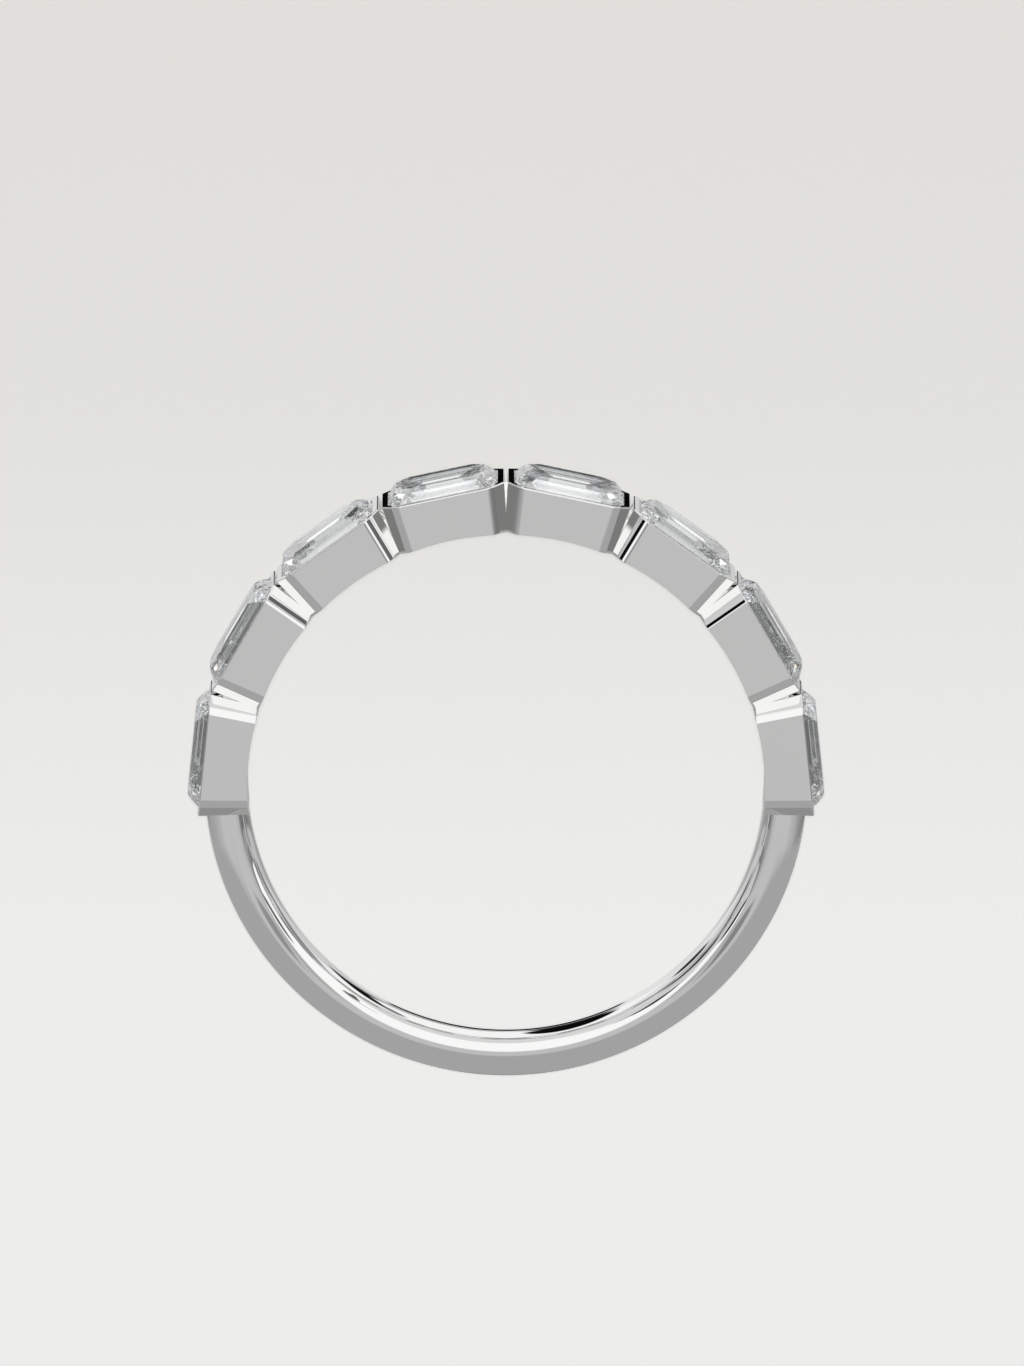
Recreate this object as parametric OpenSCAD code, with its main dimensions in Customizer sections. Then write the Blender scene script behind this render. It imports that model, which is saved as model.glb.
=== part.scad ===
// East-west bezel band: a finger ring with eight step-cut stones, each set
// lengthwise in its own tall bezel over the top half, and a plain shank below.
// The ring lies on its side: +Z is the finger axis, the row of stones faces +Y,
// and the origin is the middle of the finger hole.

/* [Finger hole] */
// Radius of the finger hole
inner_r = 8.25; // [8:0.05:8.8]

/* [Bezels] */
// Length of one bezel along the row, at its rim
bezel_len = 4.0; // [3.9:0.05:4.2]
// Width of one bezel along the finger, front wall to back wall
bezel_w = 3.0; // [2.9:0.05:3.2]
// Height of the rim above the finger hole
bezel_h = 1.43; // [1.4:0.01:1.6]
// Depth of the cut corner of the rim, along the finger
corner_cut = 0.46; // [0.4:0.01:0.5]
// Lean of the end walls towards the bezel's own middle, in degrees
end_lean = 8.1; // [7:0.1:9]
// Gap between two rims
rim_gap = 0.12; // [0.08:0.01:0.2]
// Thickness of the rim round the stone
rim_wall = 0.22; // [0.2:0.01:0.26]
// Length of the window in the back of each bezel
window_len = 1.6; // [1.2:0.1:1.8]
// Width of the window in the back of each bezel
window_w = 1.0; // [0.8:0.1:1.2]

/* [Stones] */
// Clear gap between a stone and the metal
seat_gap = 0.02; // [0.015:0.005:0.03]
// Height of the table above the girdle
crown_h = 0.49; // [0.4:0.01:0.55]
// Depth of the pavilion below the girdle
pavilion_h = 1.0; // [0.9:0.01:1.02]

/* [Shank] */
// Thickness of the shank from the finger hole outwards
shank_t = 1.36; // [1.3:0.01:1.4]
// Radius of the rounded inner side of the shank
comfort_r = 0.85; // [0.8:0.01:0.9]
// Radius of the slightly domed side faces of the shank
dome_r = 1.76; // [1.6:0.02:2]
// Half width of the shank at its widest
shank_hw = 0.71; // [0.68:0.01:0.74]

/* [Hidden] */
$fn = 96;

metal_col = [0.80, 0.80, 0.79];
stone_col = [0.90, 0.93, 0.95];

count = 8;
rim_r = inner_r + bezel_h;             // rim plane, from the finger axis
half_l = bezel_len / 2;
half_w = bezel_w / 2;
// half the pitch: two rim corners come within rim_gap of each other
half_pitch = atan(half_l / rim_r) + asin(rim_gap / 2 / norm([rim_r, half_l]));
pitch = 2 * half_pitch;

end_rate = tan(end_lean);              // how fast the end walls close in
side_rate = 0.67 * end_rate;           // the same for the corner lines
base_r = inner_r - 1;                  // blanks start inside the finger hole

// corner facet at 45 degrees, and a narrow facet between it and the front wall
corner_d = (half_l + half_w - corner_cut) / sqrt(2);
edge_t = half_l - corner_cut - 0.127;  // where the front wall ends
edge_a = 22.5;
edge_d = edge_t * sin(edge_a) + half_w * cos(edge_a);

// stone and seat levels, from the finger axis
lip_h = 0.04;
girdle_top = rim_r - lip_h - 0.07;
girdle_bot = girdle_top - 0.05;
table_r = girdle_top + crown_h;
keel_r = girdle_bot - pavilion_h;
open_l = half_l - rim_wall;            // rim opening, half sizes
open_w = half_w - rim_wall;
stone_l = open_l + 0.015;
stone_w = open_w + 0.015;
stone_c = corner_cut - 0.586 * rim_wall + 0.012;

function place(i) = (count / 2 - 0.5 - i) * pitch;

// A slab square to direction a in the rim plane, half d thick at radius r1,
// closing by rate with depth below r1.
module slab(a, d, rate, r0, r1) {
    rotate([0, a, 0])
        linear_extrude(height = 12, center = true)
            polygon([[-(d - (r1 - r0) * rate), r0], [d - (r1 - r0) * rate, r0],
                     [d, r1], [-d, r1]]);
}

// Cut-corner prism of half sizes l and w and corner cut c, from r0 to r1.
module octagon(l, w, c, r0, r1) {
    translate([0, r1, 0])
        rotate([90, 0, 0])
            linear_extrude(height = r1 - r0)
                polygon([[l, -(w - c)], [l, w - c], [l - c, w], [-(l - c), w],
                         [-l, w - c], [-l, -(w - c)], [-(l - c), -w], [l - c, -w]]);
}

module bezel_blank() {
    intersection() {
        translate([-4, base_r, -half_w]) cube([8, rim_r - base_r, bezel_w]);
        slab(0, half_l, end_rate, base_r - 0.5, rim_r);
        slab(45, corner_d, side_rate / sqrt(2), base_r - 0.5, rim_r);
        slab(-45, corner_d, side_rate / sqrt(2), base_r - 0.5, rim_r);
        slab(90 - edge_a, edge_d, side_rate * sin(edge_a), base_r - 0.5, rim_r);
        slab(edge_a - 90, edge_d, side_rate * sin(edge_a), base_r - 0.5, rim_r);
    }
}

// Room for a stone: rim opening, girdle groove, sloping seat, cup and window.
module bezel_room() {
    g = seat_gap;
    top = girdle_bot - 0.01;
    low = girdle_bot - 0.40;
    sl = stone_l + g;
    sw = stone_w + g;
    inset = (top - low) / tan(60);
    octagon(open_l, open_w, stone_c, rim_r - 0.1, rim_r + 1);
    octagon(sl, sw, stone_c, top - 0.01, rim_r - lip_h);
    intersection() {
        slab(0, sl, 1 / tan(60), low, top);
        slab(90, sw, 1 / tan(60), low, top);
        slab(45, (sl + sw - stone_c) / sqrt(2), 1 / tan(60), low, top);
        slab(-45, (sl + sw - stone_c) / sqrt(2), 1 / tan(60), low, top);
    }
    octagon(sl - inset, sw - inset, stone_c * 0.7, keel_r - 0.04, low + 0.01);
    octagon(window_len / 2, window_w / 2, 0.2, inner_r - 1, keel_r);
}

// Shank section on the (radius, width) plane: rounded towards the finger,
// slightly domed sides, flat outside.
module shank_section() {
    mid = inner_r + sqrt(comfort_r * comfort_r - 0.15 * 0.15);
    intersection() {
        translate([mid, 0]) circle(r = comfort_r);
        translate([inner_r + 0.68, shank_hw - dome_r]) circle(r = dome_r);
        translate([inner_r + 0.68, dome_r - shank_hw]) circle(r = dome_r);
        translate([inner_r - 1, -2]) square([1 + shank_t, 4]);
    }
}

module shank() {
    // the shank stops inside the end wall of the last bezel on each side
    a = place(0);
    stop = half_l - 0.34;
    difference() {
        rotate_extrude() shank_section();
        translate([0, 0, -3])
            linear_extrude(height = 6)
                polygon([[0, -stop / sin(a)], [-16, (-stop + 16 * cos(a)) / sin(a)],
                         [-16, 16], [16, 16], [16, (-stop + 16 * cos(a)) / sin(a)]]);
    }
}

module band() {
    color(metal_col)
        difference() {
            union() {
                shank();
                for (i = [0 : count - 1])
                    rotate([0, 0, place(i)])
                        bezel_blank();
            }
            translate([0, 0, -4]) cylinder(r = inner_r, h = 8);
            for (i = [0 : count - 1])
                rotate([0, 0, place(i)])
                    bezel_room();
        }
}

// One ring of eight corners: [half length, half width, corner cut, level].
function ring8(r) = let (l = r[0], w = r[1], c = r[2], h = r[3])
    [[l, h, -(w - c)], [l, h, w - c], [l - c, h, w], [-(l - c), h, w],
     [-l, h, w - c], [-l, h, -(w - c)], [-(l - c), h, -w], [l - c, h, -w]];

// Step-cut stone: table, three crown steps, girdle, two pavilion steps and a
// last one that closes on a keel line.
module step_cut() {
    run = 0.37;                        // girdle to table, across
    l = stone_l;
    w = stone_w;
    c = stone_c;
    levels = [
        [l - run, w - run, c * 1.22, table_r],
        [l - 0.255, w - 0.255, c * 1.14, table_r - 0.10],
        [l - 0.12, w - 0.12, c * 1.06, table_r - 0.28],
        [l, w, c, girdle_top],
        [l, w, c, girdle_bot],
        [l - 0.24, w - 0.24, c * 0.84, girdle_bot - 0.42],
        [l - 0.62, w - 0.62, c * 0.58, girdle_bot - 0.78]
    ];
    n = len(levels);
    keel = l - w + 0.05;
    pts = concat([for (r = levels) each ring8(r)],
                 [[keel, keel_r, 0], [-keel, keel_r, 0]]);
    k = 8 * n;                         // the two keel ends are k and k + 1
    b = 8 * (n - 1);                   // last ring
    faces = concat(
        [[for (j = [0 : 7]) j]],
        [for (i = [0 : n - 2]) for (j = [0 : 7])
            [8 * i + j, 8 * i + 8 + j, 8 * i + 8 + (j + 1) % 8, 8 * i + (j + 1) % 8]],
        [[b, k, b + 1], [b + 1, k, b + 2], [b + 2, k, k + 1, b + 3],
         [b + 3, k + 1, b + 4], [b + 4, k + 1, b + 5], [b + 5, k + 1, b + 6],
         [b + 6, k + 1, k, b + 7], [b + 7, k, b]]);
    polyhedron(points = pts, faces = faces, convexity = 2);
}

module stone(i) {
    color(stone_col)
        rotate([0, 0, place(i)])
            step_cut();
}

module stone_1() { stone(0); }
module stone_2() { stone(1); }
module stone_3() { stone(2); }
module stone_4() { stone(3); }
module stone_5() { stone(4); }
module stone_6() { stone(5); }
module stone_7() { stone(6); }
module stone_8() { stone(7); }

band();
stone_1();
stone_2();
stone_3();
stone_4();
stone_5();
stone_6();
stone_7();
stone_8();
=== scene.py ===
import math
import bpy
from mathutils import Vector, Matrix
from mathutils.kdtree import KDTree


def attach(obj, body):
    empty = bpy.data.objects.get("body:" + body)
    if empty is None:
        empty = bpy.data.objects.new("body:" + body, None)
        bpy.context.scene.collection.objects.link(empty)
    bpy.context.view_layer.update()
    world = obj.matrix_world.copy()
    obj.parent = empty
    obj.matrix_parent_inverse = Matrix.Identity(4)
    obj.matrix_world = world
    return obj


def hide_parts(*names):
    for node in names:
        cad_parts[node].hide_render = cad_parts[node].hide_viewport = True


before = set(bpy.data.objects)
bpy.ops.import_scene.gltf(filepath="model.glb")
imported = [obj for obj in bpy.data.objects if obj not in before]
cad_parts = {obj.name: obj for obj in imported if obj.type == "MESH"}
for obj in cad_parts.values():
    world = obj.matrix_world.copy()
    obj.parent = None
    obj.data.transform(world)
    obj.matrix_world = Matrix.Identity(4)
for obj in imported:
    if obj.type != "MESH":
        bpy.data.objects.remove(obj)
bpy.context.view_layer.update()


# ---------------------------------------------------------------- camera
# The ring lies on its side, so the photo's "up" is +Y and its viewer is +Z.
scene = bpy.context.scene
ELEV = math.radians(12.4)                 # the camera's height over the ring's axis
DIST = 1.0                                # metres
PX = 31340.0                              # focal length in pixels of the 1024x1366 frame
PITCH = ELEV - math.atan((778.2 - 683.0) / PX)
cam_data = bpy.data.cameras.new("camera")
cam_data.sensor_fit = "VERTICAL"
cam_data.sensor_height = 36.0
cam_data.lens = PX * 36.0 / 1366.0
cam_data.clip_start = 0.05
cam_data.clip_end = 20.0
camera = bpy.data.objects.new("camera", cam_data)
scene.collection.objects.link(camera)
back = Vector((0, math.sin(PITCH), math.cos(PITCH)))
up = Vector((0, math.cos(PITCH), -math.sin(PITCH)))
turn = Matrix((Vector((1, 0, 0)), up, back)).transposed()
camera.matrix_world = Matrix.Translation((6.0 / PX * DIST, DIST * math.sin(ELEV), DIST * math.cos(ELEV))) @ turn.to_4x4()
scene.camera = camera

# ---------------------------------------------------------------- helpers


def mix(a, b, f):
    return a + (b - a) * f


def smooth(a, b, v):
    t = min(1.0, max(0.0, (v - a) / (b - a)))
    return t * t * (3 - 2 * t)


def unit(v):
    n = math.sqrt(v[0] * v[0] + v[1] * v[1] + v[2] * v[2])
    return (v[0] / n, v[1] / n, v[2] / n)


def solve(f, lo, hi):
    """The place between lo and hi where f changes its sign."""
    rising = f(hi) > 0
    for _ in range(60):
        mid = (lo + hi) / 2
        if (f(mid) > 0) == rising:
            hi = mid
        else:
            lo = mid
    return (lo + hi) / 2


# ---------------------------------------------------------------- the metal
# One bezel in millimetres: x along the row, y outwards, z along the finger.
# Every wall, rounding and normal is written out, so that the polish is exact.
INNER, RIM = 8.25, 9.68                   # finger hole, rim plane
HALF_L, HALF_W = 2.0, 1.5                 # half size of the rim
CUT = 0.435                               # corner cut
R_CORNER = 0.42                           # rounding between front wall and corner wall
R_END = 0.05                              # rounding between corner wall and end wall
R_RIM = 0.045                             # rounding of the rim's outer edge
R_LIP = 0.012                             # rounding of the rim's inner edge
END_RATE = math.tan(math.radians(8.1))
SIDE_RATE = 0.67 * END_RATE
HALF_PITCH = math.atan(HALF_L / RIM) + math.asin(0.06 / math.hypot(RIM, HALF_L))
PITCH_A = 2 * HALF_PITCH
JOINT = math.tan(HALF_PITCH)
ROOT2 = math.sqrt(2)
TAN = math.tan(math.radians(22.5))
OPEN = (1.78, 1.28, 0.343)                # rim opening
SEAT = (1.815, 1.315, 0.343)              # groove for the girdle
CUP = (1.59, 1.09, 0.225)                 # under the seat
WINDOW = (0.8, 0.5, 0.2)                  # to the finger hole
N_FRONT, N_ARC, N_BORE, N_JOIN, N_ARC2, N_ENDW = 12, 9, 5, 4, 5, 4
CORNER = N_ARC + N_BORE + N_JOIN + N_ARC2
N_ALL = N_FRONT + CORNER + N_ENDW
END_F = (0.0, 0.12, 0.24, 0.62, 1.0)      # places along the end wall
WEB = 0.42                                # top of the solder between two bezels, under the rim


def wall(kind, f, d, inset):
    """A point of the side walls, d under the rim and set in by inset, and its normal."""
    l = HALF_L - END_RATE * d - inset
    w = HALF_W - inset
    k = HALF_L + HALF_W - CUT - SIDE_RATE * d - inset * ROOT2
    r1, r2 = R_CORNER - inset, R_END - inset
    xa = k - w - r1 * TAN
    zc = k - l
    if kind == "front":
        return (f * xa, RIM - d, w), (0.0, 0.0, 1.0)
    if kind == "arc":
        t = f * math.pi / 4
        s, c = math.sin(t), math.cos(t)
        return (xa + r1 * s, RIM - d, w - r1 + r1 * c), unit((s, -SIDE_RATE * s, c))
    if kind == "facet":
        q = r1 / ROOT2
        return ((mix(xa + q, l - r2 * TAN / ROOT2, f), RIM - d,
                 mix(w - r1 + q, zc + r2 * TAN / ROOT2, f)),
                unit((1.0, -SIDE_RATE, 1.0)))
    if kind == "arc2":
        t = math.pi / 4 * (1 + f)
        s, c = math.sin(t), math.cos(t)
        return ((l - r2 + r2 * s, RIM - d, zc - r2 * TAN + r2 * c),
                unit((s, -(END_RATE * s + (SIDE_RATE - END_RATE) * c), c)))
    return (l, RIM - d, (zc - r2 * TAN) * (1 - f)), unit((1.0, -END_RATE, 0.0))


def bore_depth(kind, f, inset, radius):
    return solve(lambda d: math.hypot(wall(kind, f, d, inset)[0][0], RIM - d) - radius, 0.4, 2.4)


def joint_depth(kind, f):
    return solve(lambda d: wall(kind, f, d, 0.0)[0][0] - (RIM - d) * JOINT, 0.0, 2.6)


def joint_fraction(inset, radius):
    """Where along the corner wall the joint plane cuts the edge of the finger hole."""
    def off(f):
        p = wall("facet", f, bore_depth("facet", f, inset, radius), inset)[0]
        return p[0] - p[1] * JOINT
    if off(0.0) * off(1.0) > 0:
        return 1.0
    return solve(off, 0.0, 1.0)


def octagon(size, y, i):
    l, w, c = size
    if i <= N_FRONT:
        return (i / N_FRONT * (l - c), y, w)
    if i <= N_FRONT + CORNER:
        g = (i - N_FRONT) / CORNER
        return (l - c + g * c, y, w - g * c)
    return (l, y, (w - c) * (1 - (i - N_FRONT - CORNER) / N_ENDW))


class Sheet:
    """Faces with a normal at each corner, gathered before they are welded."""

    def __init__(self):
        self.points, self.normals, self.faces = [], [], []

    def grid(self, rows, turned=False):
        """rows[j][i] = (point, normal). Faces look along their normals."""
        first = len(self.points)
        n = len(rows[0])
        for row in rows:
            for p, q in row:
                self.points.append(p)
                self.normals.append(q)
        for j in range(len(rows) - 1):
            for i in range(n - 1):
                a = first + j * n + i
                self.faces.append((a, a + 1, a + n + 1, a + n))

    def flat(self, rows):
        """A grid with the one normal of each face, for plain cut walls."""
        for j in range(len(rows) - 1):
            for i in range(len(rows[0]) - 1):
                quad = [rows[j][i], rows[j][i + 1], rows[j + 1][i + 1], rows[j + 1][i]]
                a, b, c, d = [Vector(p) for p in quad]
                q = (c - a).cross(d - b)
                if q.length < 1e-9:
                    continue
                q = tuple(q.normalized())
                first = len(self.points)
                self.points += quad
                self.normals += [q] * 4
                self.faces.append((first, first + 1, first + 2, first + 3))

    def polygon(self, pts, normal):
        first = len(self.points)
        self.points += pts
        self.normals += [normal] * len(pts)
        self.faces.append(tuple(range(first, first + len(pts))))

    def add(self, other, move):
        """A moved copy of other. move gives a point or a direction."""
        first = len(self.points)
        self.points += [move(p) for p in other.points]
        self.normals += [move(q) for q in other.normals]
        self.faces += [tuple(first + v for v in f) for f in other.faces]

    def orient(self):
        """Turns each face to look along its own normals."""
        out = []
        for f in self.faces:
            q = Vector((0, 0, 0))
            for k in range(1, len(f) - 1):
                a, b, c = (Vector(self.points[f[0]]), Vector(self.points[f[k]]), Vector(self.points[f[k + 1]]))
                q += (b - a).cross(c - a)
            m = Vector((0, 0, 0))
            for v in f:
                m += Vector(self.normals[v])
            out.append(f if q.dot(m) >= 0 else tuple(reversed(f)))
        self.faces = out

    def mesh(self, name, scale=0.001, near=2e-5):
        """Welds what meets, keeping each face's own normals."""
        self.orient()
        tree = KDTree(len(self.points))
        for k, p in enumerate(self.points):
            tree.insert(p, k)
        tree.balance()
        ident = [-1] * len(self.points)
        verts = []
        for k, p in enumerate(self.points):
            if ident[k] < 0:
                for _, other, _ in tree.find_range(p, near):
                    if ident[other] < 0:
                        ident[other] = len(verts)
                verts.append([c * scale for c in p])
        faces, normals = [], []
        for f in self.faces:
            seen, keep = set(), []
            for v in f:
                if ident[v] not in seen:
                    seen.add(ident[v])
                    keep.append(v)
            if len(keep) > 2:
                faces.append([ident[v] for v in keep])
                normals += [self.normals[v] for v in keep]
        me = bpy.data.meshes.new(name)
        me.from_pydata(verts, [], faces)
        me.polygons.foreach_set("use_smooth", [True] * len(me.polygons))
        me.update()
        me.normals_split_custom_set(normals)
        return me


def radial(p):
    n = math.hypot(p[0], p[1])
    return (-p[0] / n, -p[1] / n, 0.0)


def bezel_quarter(free):
    """A quarter of a bezel, x and z from 0 up. free is the end that stands over
    the shank; the other kind stops at the plane where it meets its neighbour."""
    s = Sheet()
    cols = ([("front", i / N_FRONT) for i in range(N_FRONT)]
            + [("arc", i / N_ARC) for i in range(N_ARC)])
    star = joint_fraction(0.0, INNER + 0.11)
    if free:
        n = N_BORE + N_JOIN
        cols += [("facet", i / n) for i in range(n)]
    else:
        cols += [("facet", star * i / N_BORE) for i in range(N_BORE)]
        cols += [("facet", mix(star, 1.0, i / N_JOIN)) for i in range(N_JOIN)]
    cols += [("arc2", i / N_ARC2) for i in range(N_ARC2)]
    cols += [("end", f) for f in END_F]
    last_bore = N_FRONT + N_ARC + (N_BORE + N_JOIN + N_ARC2 if free else N_BORE)

    def round_at(i):
        """Rounding at the finger hole: hardly any in front, more in the notch."""
        if i <= N_FRONT:
            return 0.006
        g = (i - N_FRONT) / (last_bore - N_FRONT)
        if free:
            return max(0.0, 0.006 * (1 - g) + 0.05 * g * (1 - g) * 2)
        return 0.006 + 0.104 * smooth(0.0, 1.0, g)

    # rim edge, then the walls down to the finger hole or the joint
    rows = []
    for j in range(6):
        t = math.pi / 2 * (1 - j / 5)
        row = []
        for kind, f in cols:
            p, q = wall(kind, f, R_RIM * (1 - math.sin(t)), R_RIM * (1 - math.cos(t)))
            row.append((p, unit((q[0] * math.cos(t), q[1] * math.cos(t) + math.sin(t), q[2] * math.cos(t)))))
        rows.append(row)
    s.grid(rows)
    ends = []
    for i, (kind, f) in enumerate(cols):
        if i < last_bore or (i == last_bore and free):
            ends.append(bore_depth(kind, f, 0.0, INNER + round_at(i)))
        elif i == last_bore:
            ends.append(bore_depth(kind, f, 0.0, INNER + 0.11))
        elif free:
            ends.append(None)
        elif kind == "end" and f == END_F[1]:
            ends.append(WEB)
        else:
            ends.append(joint_depth(kind, f))
    n_side = 7
    stop = last_bore if free else len(cols) - 1
    rows = []
    for j in range(n_side + 1):
        rows.append([wall(kind, f, mix(R_RIM, ends[i], j / n_side), 0.0)
                     for i, (kind, f) in enumerate(cols[:stop + 1])])
    s.grid(rows)
    side_last = [row[-1][0] for row in rows]
    if not free:
        # the solder that closes the foot of the gap, a small wedge near the front
        base = len(cols) - len(END_F)
        a, b, d = (wall("end", END_F[k], ends[base + k], 0.0)[0] for k in (0, 1, 2))
        c = (b[1] * JOINT, b[1], b[2])
        for tri in ((a, c, b), (b, c, d)):
            q = (Vector(tri[1]) - Vector(tri[0])).cross(Vector(tri[2]) - Vector(tri[0])).normalized()
            s.polygon(list(tri), tuple(q if q.y > 0 else -q))

    # rounding at the finger hole
    rows = []
    for j in range(6):
        t = math.pi / 2 * j / 5
        row = []
        for i in range(last_bore + 1):
            kind, f = cols[i]
            r = round_at(i)
            inset, radius = r * (1 - math.cos(t)), INNER + r * (1 - math.sin(t))
            if not free and i >= N_FRONT + N_ARC:
                f = joint_fraction(0.11 * (1 - math.cos(t)), INNER + 0.11 * (1 - math.sin(t))) * (i - N_FRONT - N_ARC) / N_BORE
                if i == last_bore:
                    inset, radius = 0.11 * (1 - math.cos(t)), INNER + 0.11 * (1 - math.sin(t))
            p, q = wall(kind, f, bore_depth(kind, f, inset, radius), inset)
            b = radial(p)
            row.append((p, unit(tuple(q[k] * math.cos(t) + b[k] * math.sin(t) for k in range(3)))))
        rows.append(row)
    s.grid(rows)
    edge = [p for p, _ in rows[-1]]
    side = [row[-1][0] for row in rows]

    # the finger hole's own surface, out to the window
    if free:
        x, y, z = edge[-1]
        line = [z, 0.72, 0.45, SECTION[0][1]]
        edge += [(x, y, v) for v in line[1:]] + [(x, y, 0.0)]
        foot = [(x, y, v) for v in line]
    else:
        n = N_ALL - last_bore
        z = edge[-1][2]
        edge += [(INNER * math.sin(HALF_PITCH), INNER * math.cos(HALF_PITCH), z * (1 - (i + 1) / n)) for i in range(n)]
        # the sliver beside the joint where the rounding runs out
        ring = [side[3], side[4], side[5], edge[last_bore + 1]]
        q = (Vector(ring[2]) - Vector(ring[0])).cross(Vector(ring[3]) - Vector(ring[1])).normalized()
        s.polygon(ring, tuple(q if q.y < 0 else -q))
    rows = []
    for j in range(7):
        row = []
        for i in range(N_ALL + 1):
            a, b = edge[i], octagon(WINDOW, 0.0, i)
            x, z = mix(a[0], b[0], j / 6), mix(a[2], b[2], j / 6)
            p = (x, math.sqrt(INNER * INNER - x * x), z)
            row.append((p, radial(p)))
        rows.append(row)
    s.grid(rows)
    hole = [p for p, _ in rows[-1]]

    # rim top, lip, groove, sloping seat, cup and window
    top = [wall(kind, f, 0.0, R_RIM)[0] for kind, f in cols]
    wide = (OPEN[0] + R_LIP, OPEN[1] + R_LIP, OPEN[2] + 0.5 * R_LIP)
    s.flat([top, [octagon(wide, RIM, i) for i in range(N_ALL + 1)],
            [octagon(tuple(mix(a, b, 0.7) for a, b in zip(wide, OPEN)), RIM - 0.3 * R_LIP, i) for i in range(N_ALL + 1)],
            [octagon(OPEN, RIM - R_LIP, i) for i in range(N_ALL + 1)],
            [octagon(OPEN, RIM - 0.04, i) for i in range(N_ALL + 1)],
            [octagon(SEAT, RIM - 0.04, i) for i in range(N_ALL + 1)],
            [octagon(SEAT, 9.505, i) for i in range(N_ALL + 1)],
            [octagon(CUP, 9.12, i) for i in range(N_ALL + 1)],
            [octagon(CUP, 8.48, i) for i in range(N_ALL + 1)],
            [octagon(WINDOW, 8.48, i) for i in range(N_ALL + 1)],
            hole])

    # the free end wall, round the shank's section
    if free:
        def on_wall(r, z):
            # the end wall is x - END_RATE * y = const
            c = HALF_L - END_RATE * RIM
            a = math.atan(END_RATE) + math.asin(c * math.cos(math.atan(END_RATE)) / r)
            return (r * math.sin(a), r * math.cos(a), z)
        upper = [wall("end", f, R_RIM, 0.0)[0] for f in END_F]
        section = [on_wall(r, z) for r, z, _, _ in SECTION]
        ring = foot[:-1] + section + upper[::-1] + side_last[1:-1]
        s.polygon(ring, unit((1.0, -END_RATE, 0.0)))
    return s


# The shank's section for z >= 0: (radius, z) and its normal, rounded towards the
# finger, slightly domed at the side and flat outside, with soft changes between.
def shank_section():
    ca, ra = (INNER + math.sqrt(0.85 ** 2 - 0.15 ** 2), 0.0), 0.85
    cb, rb = (INNER + 0.68, 0.71 - 1.76), 1.76
    outer = 9.61

    def meet(c1, r1, c2, r2):
        """Both crossings of two circles; the caller takes the upper one, nearer the finger."""
        dx, dy = c2[0] - c1[0], c2[1] - c1[1]
        d = math.hypot(dx, dy)
        a = (r1 * r1 - r2 * r2 + d * d) / (2 * d)
        h = math.sqrt(r1 * r1 - a * a)
        both = [(c1[0] + a * dx / d + k * h * dy / d, c1[1] + a * dy / d - k * h * dx / d) for k in (1, -1)]
        return both

    def arc(c, r, a0, a1, n):
        """Angles from -radius (towards the finger) turning to +z."""
        out = []
        for i in range(n + 1):
            a = mix(a0, a1, i / n)
            q = (-math.cos(a), math.sin(a))
            out.append((c[0] + r * q[0], c[1] + r * q[1], q[0], q[1]))
        return out

    def angle(c, p):
        return math.atan2(p[1] - c[1], -(p[0] - c[0]))

    f1 = 0.5                                # land to round
    c1 = (INNER + f1, math.sqrt((ra - f1) ** 2 - (INNER + f1 - ca[0]) ** 2))
    a1 = angle(ca, c1)
    f2 = 0.2                                # round to dome
    c2 = min(meet(ca, ra - f2, cb, rb - f2), key=lambda p: p[0])
    a2 = angle(ca, c2)
    b2 = angle(cb, c2)
    f3 = 0.12                               # dome to outside
    c3 = (outer - f3, cb[1] + math.sqrt((rb - f3) ** 2 - (outer - f3 - cb[0]) ** 2))
    b3 = angle(cb, c3)
    pts = arc(c1, f1, 0.0, a1, 5)
    pts += arc(ca, ra, a1, a2, 12)[1:]
    pts += arc(c2, f2, a2, b2, 8)[1:]
    pts += arc(cb, rb, b2, b3, 14)[1:]
    pts += arc(c3, f3, b3, math.pi, 10)[1:]
    z = pts[-1][1]
    pts += [(outer, z * v, 1.0, 0.0) for v in (0.66, 0.33, 0.0)]
    return pts


SECTION = shank_section()


def shank():
    s = Sheet()
    first = 3.5 * PITCH_A
    lean = math.atan(END_RATE)
    c = HALF_L - END_RATE * RIM
    section = [(INNER, 0.0, -1.0, 0.0)] + SECTION
    n = 120
    rows = []
    for j in range(n + 1):
        row = []
        for r, z, qr, qz in section:
            stop = first + lean + math.asin(c * math.cos(lean) / r)
            a = mix(math.pi, stop, j / n)
            row.append(((-r * math.sin(a), r * math.cos(a), z), (-qr * math.sin(a), qr * math.cos(a), qz)))
        rows.append(row)
    s.grid(rows)
    return s


def build_band():
    joined, free_end, bar = bezel_quarter(False), bezel_quarter(True), shank()
    whole = Sheet()
    for i in range(8):
        a = (3.5 - i) * PITCH_A
        ca, sa = math.cos(a), math.sin(a)
        for sx in (1, -1):
            part = free_end if (i, sx) in ((0, -1), (7, 1)) else joined
            for sz in (1, -1):
                whole.add(part, lambda p: (sx * p[0] * ca - p[1] * sa, sx * p[0] * sa + p[1] * ca, sz * p[2]))
    for sx in (1, -1):
        for sz in (1, -1):
            whole.add(bar, lambda p: (sx * p[0], p[1], sz * p[2]))
    return whole.mesh("ring_band")


band = bpy.data.objects.new("ring_band", build_band())
scene.collection.objects.link(band)
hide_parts("band")
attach(band, "root")

# ---------------------------------------------------------------- materials


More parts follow.
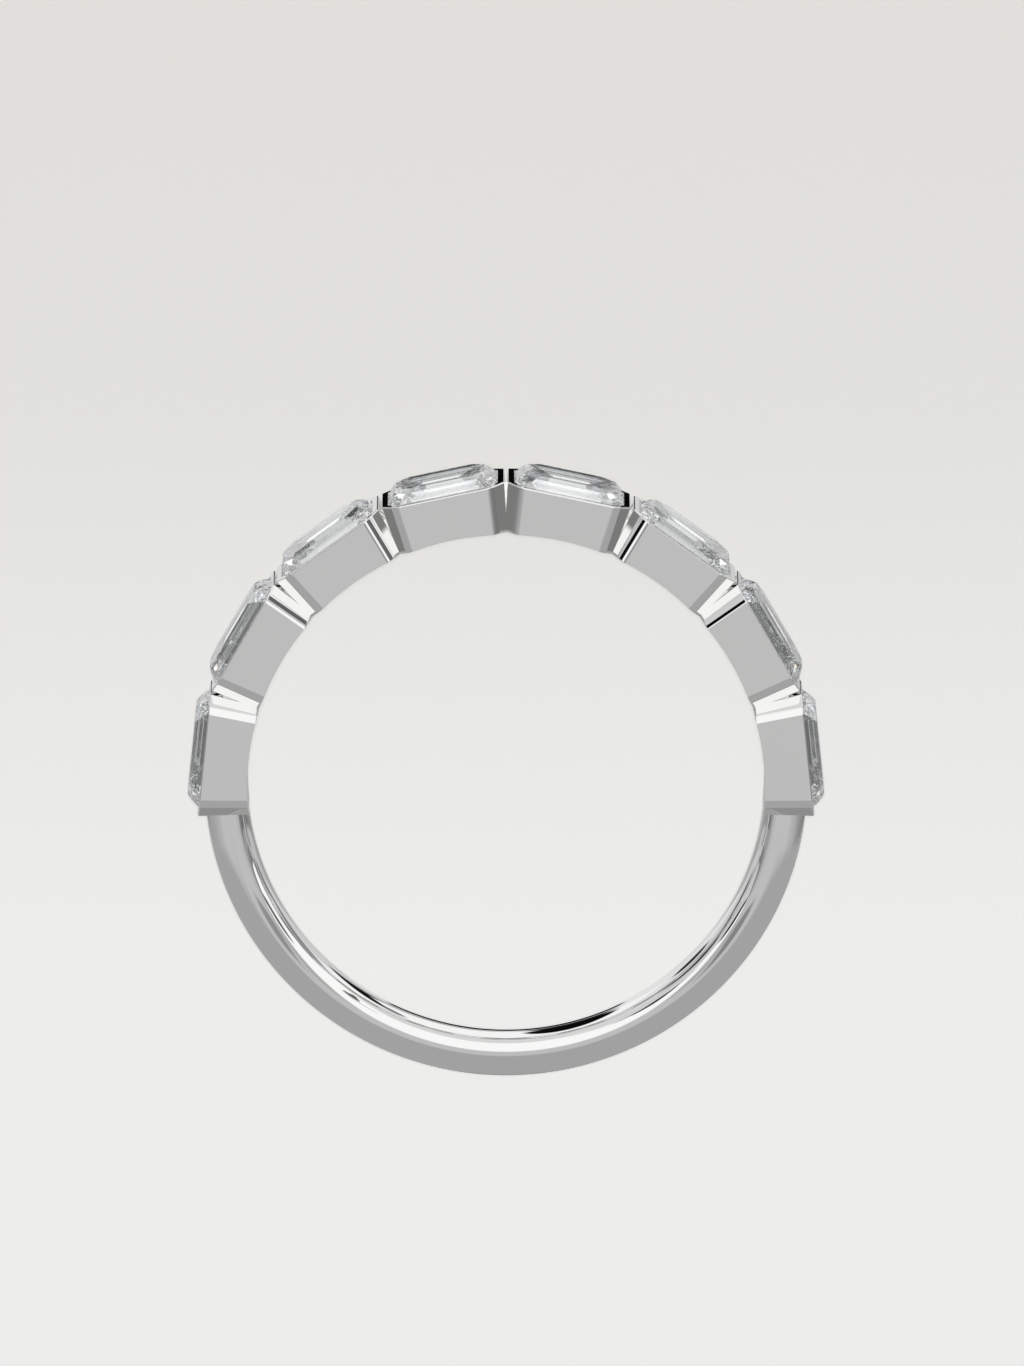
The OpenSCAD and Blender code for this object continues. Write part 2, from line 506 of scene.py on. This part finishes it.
class Graph:
    """Short names for the maths nodes of one tree."""

    def __init__(self, tree):
        self.tree = tree

    def put(self, node, socket, value):
        if value is None:
            return
        if isinstance(value, (int, float)):
            node.inputs[socket].default_value = value
        else:
            self.tree.links.new(value, node.inputs[socket])

    def math(self, op, a, b=None, c=None):
        n = self.tree.nodes.new("ShaderNodeMath")
        n.operation = op
        for k, v in enumerate((a, b, c)):
            self.put(n, k, v)
        return n.outputs[0]

    def step(self, v, lo, hi):
        """0 below lo and 1 above hi, or the other way round."""
        n = self.tree.nodes.new("ShaderNodeMapRange")
        n.interpolation_type = "SMOOTHSTEP"
        self.put(n, "Value", v)
        if lo < hi:
            ends = (lo, hi, 0.0, 1.0)
        else:
            ends = (hi, lo, 1.0, 0.0)
        for name, e in zip(("From Min", "From Max", "To Min", "To Max"), ends):
            n.inputs[name].default_value = e
        return n.outputs["Result"]

    def curve(self, v, lo, hi, stops):
        """A line through (place, value) stops."""
        t = self.math("DIVIDE", self.math("SUBTRACT", v, lo), hi - lo)
        n = self.tree.nodes.new("ShaderNodeValToRGB")
        self.put(n, "Fac", t)
        ramp = n.color_ramp
        ramp.interpolation = "LINEAR"
        low = min(x for _, x in stops)
        span = max(x for _, x in stops) - low
        while len(ramp.elements) > 1:
            ramp.elements.remove(ramp.elements[-1])
        for k, (x, y) in enumerate(stops):
            e = ramp.elements[0] if k == 0 else ramp.elements.new((x - lo) / (hi - lo))
            e.position = (x - lo) / (hi - lo)
            g = (y - low) / span
            e.color = (g, g, g, 1)
        return self.math("MULTIPLY_ADD", n.outputs["Color"], span, low)

    def over(self, below, value, mask):
        """value laid over below where mask is 1."""
        n = self.tree.nodes.new("ShaderNodeMix")
        n.data_type = "FLOAT"
        self.put(n, 0, mask)
        self.put(n, 2, below)
        self.put(n, 3, value)
        return n.outputs[0]

    def both(self, *masks):
        out = masks[0]
        for m in masks[1:]:
            out = self.math("MULTIPLY", out, m)
        return out

    def blob(self, x, y, cx, cy, angle, a, b, soft):
        """1 inside an ellipse with its long half axis a turned by angle."""
        ca, sa = math.cos(math.radians(angle)), math.sin(math.radians(angle))
        u = self.math("MULTIPLY_ADD", self.math("SUBTRACT", x, cx), ca / a,
                      self.math("MULTIPLY", self.math("SUBTRACT", y, cy), sa / a))
        v = self.math("MULTIPLY_ADD", self.math("SUBTRACT", x, cx), -sa / b,
                      self.math("MULTIPLY", self.math("SUBTRACT", y, cy), ca / b))
        r = self.math("SQRT", self.math("ADD", self.math("MULTIPLY", u, u), self.math("MULTIPLY", v, v)))
        return self.step(r, 1 + soft, 1 - soft)


METAL = 0.88                              # how much the polished metal reflects


def new_material(name):
    m = bpy.data.materials.new(name)
    m.use_nodes = True
    nt = m.node_tree
    bsdf = next(n for n in nt.nodes if n.type == "BSDF_PRINCIPLED")
    return m, nt, bsdf


metal, nt, b = new_material("white_metal")
b.inputs["Base Color"].default_value = (METAL, METAL, METAL * 0.992, 1)
b.inputs["Metallic"].default_value = 1.0
# the polish: hardly any haze, in soft patches, and a faint unevenness of the shank
g = Graph(nt)
place = nt.nodes.new("ShaderNodeTexCoord")
split = nt.nodes.new("ShaderNodeSeparateXYZ")
nt.links.new(place.outputs["Object"], split.inputs[0])
haze = nt.nodes.new("ShaderNodeTexNoise")
nt.links.new(place.outputs["Object"], haze.inputs["Vector"])
haze.inputs["Scale"].default_value = 1500.0
haze.inputs["Detail"].default_value = 3.0
on_shank = g.step(split.outputs[1], -0.0016, -0.0024)
nt.links.new(g.math("MULTIPLY", g.step(haze.outputs["Fac"], 0.42, 0.72), g.math("MULTIPLY_ADD", on_shank, 0.03, 0.004)),
             b.inputs["Roughness"])
wave = nt.nodes.new("ShaderNodeTexNoise")
nt.links.new(place.outputs["Object"], wave.inputs["Vector"])
wave.inputs["Scale"].default_value = 900.0
wave.inputs["Detail"].default_value = 1.0
ripple = nt.nodes.new("ShaderNodeBump")
nt.links.new(g.math("MULTIPLY", wave.outputs["Fac"], g.math("MULTIPLY", on_shank, 6e-7)), ripple.inputs["Height"])
ripple.inputs["Distance"].default_value = 1.0
nt.links.new(ripple.outputs[0], b.inputs["Normal"])
band.data.materials.append(metal)
band.visible_diffuse = False

stone, nt, b = new_material("clear_stone")
b.inputs["Base Color"].default_value = (0.97, 0.98, 0.99, 1)
b.inputs["Roughness"].default_value = 0.0
b.inputs["IOR"].default_value = 2.42
b.inputs["Transmission Weight"].default_value = 1.0
# small extra facets towards the ends of each stone, where the steps meet
g = Graph(nt)
place = nt.nodes.new("ShaderNodeTexCoord")
split = nt.nodes.new("ShaderNodeSeparateXYZ")
nt.links.new(place.outputs["Object"], split.inputs[0])
turn = g.math("DIVIDE", g.math("ARCTAN2", split.outputs[0], split.outputs[1]), PITCH_A)
local = g.math("ABSOLUTE", g.math("SUBTRACT", g.math("FRACT", g.math("ADD", turn, 8.0)), 0.5))
ends = g.step(local, 0.26, 0.36)
cells = nt.nodes.new("ShaderNodeTexVoronoi")
nt.links.new(place.outputs["Object"], cells.inputs["Vector"])
cells.inputs["Scale"].default_value = 7000.0
shift = nt.nodes.new("ShaderNodeVectorMath")
shift.operation = "SUBTRACT"
nt.links.new(cells.outputs["Color"], shift.inputs[0])
shift.inputs[1].default_value = (0.5, 0.5, 0.5)
tilt = nt.nodes.new("ShaderNodeVectorMath")
tilt.operation = "SCALE"
nt.links.new(shift.outputs[0], tilt.inputs[0])
nt.links.new(g.math("MULTIPLY", ends, 0.10), tilt.inputs["Scale"])
shape = nt.nodes.new("ShaderNodeNewGeometry")
lean = nt.nodes.new("ShaderNodeVectorMath")
nt.links.new(shape.outputs["Normal"], lean.inputs[0])
nt.links.new(tilt.outputs[0], lean.inputs[1])
level = nt.nodes.new("ShaderNodeVectorMath")
level.operation = "NORMALIZE"
nt.links.new(lean.outputs[0], level.inputs[0])
nt.links.new(level.outputs[0], b.inputs["Normal"])
for i in range(1, 9):
    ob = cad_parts["stone_%d" % i]
    ob.visible_diffuse = False
    for k in range(max(1, len(ob.material_slots))):
        if ob.material_slots:
            ob.material_slots[k].material = stone
        else:
            ob.data.materials.append(stone)

# ---------------------------------------------------------------- stage
floor_me = bpy.data.meshes.new("floor")
h = -0.0015
floor_me.from_pydata([(-2, -2, h), (2, -2, h), (2, 2, h), (-2, 2, h)], [], [(0, 1, 2, 3)])
floor = bpy.data.objects.new("floor", floor_me)
scene.collection.objects.link(floor)
floor.visible_glossy = False
floor.visible_transmission = False
paper, nt, b = new_material("floor_paper")
b.inputs["Roughness"].default_value = 0.9
b.inputs["Specular IOR Level"].default_value = 0.0
floor_me.materials.append(paper)
# painted light on the backdrop paper: its colour and its glow darken softly away from the shank's side, a painted light
# falloff
place = nt.nodes.new("ShaderNodeTexCoord")
split = nt.nodes.new("ShaderNodeSeparateXYZ")
nt.links.new(place.outputs["Object"], split.inputs[0])
painted_falloff = nt.nodes.new("ShaderNodeValToRGB")
along = nt.nodes.new("ShaderNodeMapRange")
nt.links.new(split.outputs["Y"], along.inputs["Value"])
along.inputs["From Min"].default_value = -0.022
along.inputs["From Max"].default_value = 0.022
nt.links.new(along.outputs["Result"], painted_falloff.inputs["Fac"])
while len(painted_falloff.color_ramp.elements) > 1:
    painted_falloff.color_ramp.elements.remove(painted_falloff.color_ramp.elements[-1])
for k, (t, c) in enumerate(((0.0, (0.783, 0.783, 0.770)), (0.36, (0.785, 0.785, 0.771)), (0.56, (0.748, 0.744, 0.727)),
                            (0.76, (0.702, 0.696, 0.672)), (1.0, (0.690, 0.682, 0.655)))):
    e = painted_falloff.color_ramp.elements[0] if k == 0 else painted_falloff.color_ramp.elements.new(t)
    e.position = t
    e.color = (*c, 1)
# the paper glows with its own colour, painted light in place of the tent's light from all sides; little light comes
# from the lamps
nt.links.new(painted_falloff.outputs["Color"], b.inputs["Base Color"])
nt.links.new(painted_falloff.outputs["Color"], b.inputs["Emission Color"])
b.inputs["Emission Strength"].default_value = 0.84
fibre = nt.nodes.new("ShaderNodeTexNoise")
nt.links.new(place.outputs["Object"], fibre.inputs["Vector"])
fibre.inputs["Scale"].default_value = 900.0
fibre.inputs["Detail"].default_value = 4.0
grain = nt.nodes.new("ShaderNodeBump")
nt.links.new(fibre.outputs["Fac"], grain.inputs["Height"])
grain.inputs["Strength"].default_value = 0.1
grain.inputs["Distance"].default_value = 0.0001
nt.links.new(grain.outputs[0], b.inputs["Normal"])

# The studio: a white tent with grey sides, a grey front edge and a few gaps.
# X and Y are degrees away from straight above the ring (front half) or from
# straight below it (back half), along the row and across it.
world = bpy.data.worlds.new("studio")
scene.world = world
world.use_nodes = True
world.cycles_visibility.diffuse = False


def tone(t, share=None):
    """Light that the metal shows as grey t of 255."""
    c = t / 255
    return ((c + 0.055) / 1.055) ** 2.4 / (share or METAL)


def tones(*stops):
    return [(x, tone(t)) for x, t in stops]


def polar(g, direction):
    """Degrees from the zenith and from the nadir, and their parts along X and Y."""
    sep = g.tree.nodes.new("ShaderNodeSeparateXYZ")
    g.tree.links.new(direction, sep.inputs[0])
    dx, dy, dz = sep.outputs
    flat = g.math("MAXIMUM", g.math("SQRT", g.math("MULTIPLY_ADD", dx, dx, g.math("MULTIPLY", dy, dy))), 1e-6)
    out = []
    for z in (dz, g.math("MULTIPLY", dz, -1.0)):
        theta = g.math("MULTIPLY", g.math("ARCCOSINE", g.math("MINIMUM", g.math("MAXIMUM", z, -1.0), 1.0)), 180 / math.pi)
        k = g.math("DIVIDE", theta, flat)
        out.append((theta, g.math("MULTIPLY", k, dx), g.math("MULTIPLY", k, dy)))
    return out[0], out[1], dz


def studio(g, direction, bounces):
    (theta, x, y), (theta_b, xb, yb), dz = polar(g, direction)

    # front half: grey below, a lighter edge, white above with a few gaps
    out = g.over(tone(161), g.curve(x, -90, 90, tones(
        (-90, 115), (-78, 117), (-66, 132), (-54, 145), (-42, 154), (-30, 162), (-24, 171), (-18, 178), (-13, 188),
        (13, 188), (18, 178), (24, 171), (30, 152), (36, 137), (48, 123), (60, 116), (90, 113))),
        g.step(g.math("SUBTRACT", y, g.curve(x, -90, 90, [(-90, -30), (-30, -20), (-11, -16), (-5, -14.7), (-2, -13.3), (0, -13.1),
                                                          (2, -13.6), (5, -14.2), (12, -16), (30, -20), (90, -30)])), -1.0, 1.0))
    side = g.math("ABSOLUTE", x)
    for cx, t in ((-7.5, 131), (8.0, 141)):
        out = g.over(out, tone(t), g.blob(x, y, cx, -7.3, 29 if cx > 0 else 151, 5.0, 1.2, 0.3))
    out = g.over(out, tone(152), g.both(g.step(y, -4, -2), g.step(side, 22, 30)))
    out = g.over(out, tone(125), g.both(g.step(y, 2.5, 4), g.step(side, 27, 34)))
    edge = g.curve(side, 0, 90, [(0, -4.0), (5, -3.6), (9, -1.8), (13, -1.2), (22, -2.0), (31, 4.0), (40, 8.0), (90, 9.5)])
    above = g.math("SUBTRACT", y, edge)
    white = g.over(tone(247), g.curve(x, -90, 90, tones((-90, 190), (-60, 194), (-50, 203), (-26, 206), (-15, 240), (-10, 247), (90, 247))),
                   g.step(y, 18, 24))
    white = g.over(white, tone(194), g.step(x, -52, -58))
    white = g.over(white, tone(210), g.both(g.step(y, 58, 64), g.step(theta, 66, 72)))
    white = g.over(white, tone(212), g.both(g.step(y, 58, 70), g.step(side, 62, 50)))
    out = g.over(out, tone(168), g.both(g.step(above, -3.4, -2.2), g.step(side, 4, 7), g.step(side, 16, 13)))
    out = g.over(out, white, g.step(above, -1.0, 1.0))
    # the opening for the camera and the light round it, which only facing walls throw back
    twice = g.step(bounces, 1.4, 1.6)
    out = g.over(out, tone(243, METAL ** 2), g.both(g.step(y, 4.0, 4.4), g.step(y, 54, 50), g.step(side, 20, 17), twice))
    out = g.over(out, tone(128), g.both(g.step(y, -8, -7), g.step(g.math("MULTIPLY_ADD", side, 0.06, y), 5.2, 4.8),
                                        g.step(side, 27, 24), twice))
    out = g.over(out, tone(243, METAL ** 2), g.both(g.step(side, 4.2, 4.3), g.step(side, 5.4, 5.3), g.step(y, 4.0, 4.1),
                                                    g.step(g.math("MULTIPLY_ADD", x, -0.0012, y), 4.530, 4.516), twice))
    for cx, cy, angle, a, b, t in ((-20, 17, 60, 7.5, 5.5, 10), (-18.5, 14.7, 126, 13.5, 3.2, 8), (-47, 15.2, 153, 16.0, 5.4, 10), (-70, 53, 60, 17, 8.0, 6),
                                   (49, 15.5, 25, 19.5, 6.0, 100), (40, 42, 53, 20, 2.6, 97), (22, 21, 60, 4.5, 3.5, 165)):
        out = g.over(out, tone(t), g.blob(x, y, cx, cy, angle, a, b, 0.12))
    front = out

    # back half
    x, y = xb, yb
    out = g.curve(x, -90, 90, tones((-90, 178), (-6, 178), (6, 166), (90, 166)))
    out = g.over(out, tone(140), g.both(g.step(y, -20, -28), g.step(g.math("ABSOLUTE", x), 16, 5)))
    out = g.over(out, g.curve(x, -90, 90, tones((-84, 149), (-66, 146), (-48, 162), (-36, 179), (-24, 198), (-12, 200), (-6, 217),
                                                (0, 224), (6, 195), (12, 176), (30, 163), (48, 140), (66, 122), (84, 130))), g.step(y, -11, -7))
    out = g.over(out, g.curve(x, -90, 90, tones((-84, 137), (-78, 177), (-66, 190), (-54, 155), (-42, 162), (-24, 181), (-12, 206),
                                                (-6, 226), (0, 227), (6, 218), (12, 192), (24, 158), (36, 148), (48, 162), (60, 186),
                                                (72, 185), (84, 130))), g.step(y, -5, -2))
    out = g.over(out, g.curve(x, -90, 90, tones((-84, 193), (-60, 199), (-48, 167), (-36, 176), (-24, 215), (0, 225), (12, 207),
                                                (24, 192), (42, 164), (54, 188), (72, 192), (84, 170))), g.step(y, 2, 5))
    out = g.over(out, g.curve(x, -90, 90, tones((-84, 185), (-66, 198), (-54, 221), (-30, 222), (-12, 229), (0, 222), (6, 206), (30, 204),
                                                (54, 200), (60, 232), (84, 200))), g.step(y, 9, 13))
    out = g.over(out, tone(243), g.both(g.step(y, 33, 46), g.step(x, -46, -40), g.step(x, 66, 56)))
    # a dark edge that the tables and the flat rims throw back
    out = g.over(out, tone(8), g.both(g.step(theta_b, 10.6, 11.2), g.step(theta_b, 14.2, 13.6), g.step(y, 7.2, 8.2)))
    for cx, cy, angle, a, b, t, soft in ((16, 28, 0, 17, 7, 142, 0.4), (67, 34, 85, 22, 7, 130, 0.3), (38, 60, 90, 9, 5, 126, 0.3),
                                         (74, 14, 90, 7, 5, 118, 0.3), (-79, 27, 95, 15, 5.0, 45, 0.25), (-54, 38, 120, 9, 7, 48, 0.25),
                                         (41, 45, 84, 15, 6.0, 22, 0.15), (36, 37, 0, 7, 5, 22, 0.2),
                                         (-12, 33, 105, 17, 8.5, 30, 0.2), (-18, 55, 98, 18, 13, 10, 0.12)):
        out = g.over(out, tone(t), g.blob(x, y, cx, cy, angle, a, b, soft))
    return g.over(out, front, g.step(dz, -0.02, 0.02))


def gem_light(g, direction, spread):
    """What the stones' cut throws back: white from the front and above, darker
    from the sides, with breaks that shift a little from colour to colour."""
    sep = g.tree.nodes.new("ShaderNodeSeparateXYZ")
    g.tree.links.new(direction, sep.inputs[0])
    dx, dy, dz = sep.outputs
    dz = g.math("MULTIPLY", dz, spread)
    # degrees from the row's middle, as the ring is seen from the front
    turn = g.math("MULTIPLY", g.math("ABSOLUTE", g.math("ARCTAN2", dx, dy)), 180 / math.pi)
    out = g.curve(dz, -1, 1, [(-1, 1.0), (-0.8, 0.9), (-0.62, 0.8), (-0.56, 1.5), (-0.44, 1.5), (-0.38, 0.6), (-0.24, 0.5),
                              (-0.19, 0.08), (-0.03, 0.08), (0.02, 1.05), (0.2, 1.22), (1, 1.22)])
    out = g.over(out, 0.75, g.both(g.step(dz, -0.22, -0.20), g.step(dz, 0.02, -0.02), g.step(turn, 24, 30)))
    share = g.curve(turn, 0, 180, [(0, 1.0), (26, 1.0), (34, 0.72), (46, 0.72), (54, 0.28), (70, 0.34), (78, 0.10), (104, 0.11),
                                   (128, 0.15), (146, 0.6), (180, 0.6)])
    low = g.math("MAXIMUM", g.step(dz, -0.02, 0.02), g.both(g.step(turn, 70, 78), g.step(turn, 112, 100)))
    return g.math("MULTIPLY", out, g.over(1.0, share, low))


g = Graph(world.node_tree)
coord = world.node_tree.nodes.new("ShaderNodeTexCoord")
path = world.node_tree.nodes.new("ShaderNodeLightPath")
light = studio(g, coord.outputs["Generated"], path.outputs["Glossy Depth"])
bg = world.node_tree.nodes["Background"]
tint = world.node_tree.nodes.new("ShaderNodeCombineColor")
for k, spread in (("Red", 0.975), ("Green", 1.0), ("Blue", 1.025)):
    gem = gem_light(g, coord.outputs["Generated"], spread)
    world.node_tree.links.new(g.over(light, gem, g.step(path.outputs["Transmission Depth"], 0.4, 0.6)), tint.inputs[k])
world.node_tree.links.new(tint.outputs[0], bg.inputs["Color"])
bg.inputs["Strength"].default_value = 1.0


def lamp(name, place, aim, size, watts):
    data = bpy.data.lights.new(name, "AREA")
    data.shape = "DISK"
    data.size = size
    data.energy = watts
    ob = bpy.data.objects.new(name, data)
    scene.collection.objects.link(ob)
    ob.location = place
    ob.rotation_euler = (Vector(place) - Vector(aim)).to_track_quat("Z", "Y").to_euler()
    ob.visible_glossy = False
    ob.visible_transmission = False
    return ob


lamp("key", (0.0, 0.33, 1.5), (0, 0, 0), 0.12, 4.95)


def spot(name, place, aim, radius, watts, angle, blend):
    """A soft pool of light on the paper, which throws no shadow of its own."""
    data = bpy.data.lights.new(name, "SPOT")
    data.energy = watts
    data.shadow_soft_size = radius
    data.spot_size = math.radians(angle)
    data.spot_blend = blend
    data.use_shadow = False
    ob = bpy.data.objects.new(name, data)
    scene.collection.objects.link(ob)
    ob.location = place
    ob.rotation_euler = (Vector(place) - Vector(aim)).to_track_quat("Z", "Y").to_euler()
    ob.visible_glossy = False
    ob.visible_transmission = False
    return ob


spot("low", (0.0, 0.24, 0.30), (0, -0.0145, 0), 0.045, 5.0, 4.4, 1.0)

scene.view_settings.view_transform = "Standard"
# light passes many times inside a stone and between two bezels
scene.cycles.max_bounces = 40
scene.cycles.glossy_bounces = 32
scene.cycles.transmission_bounces = 32
scene.cycles.blur_glossy = 0.0
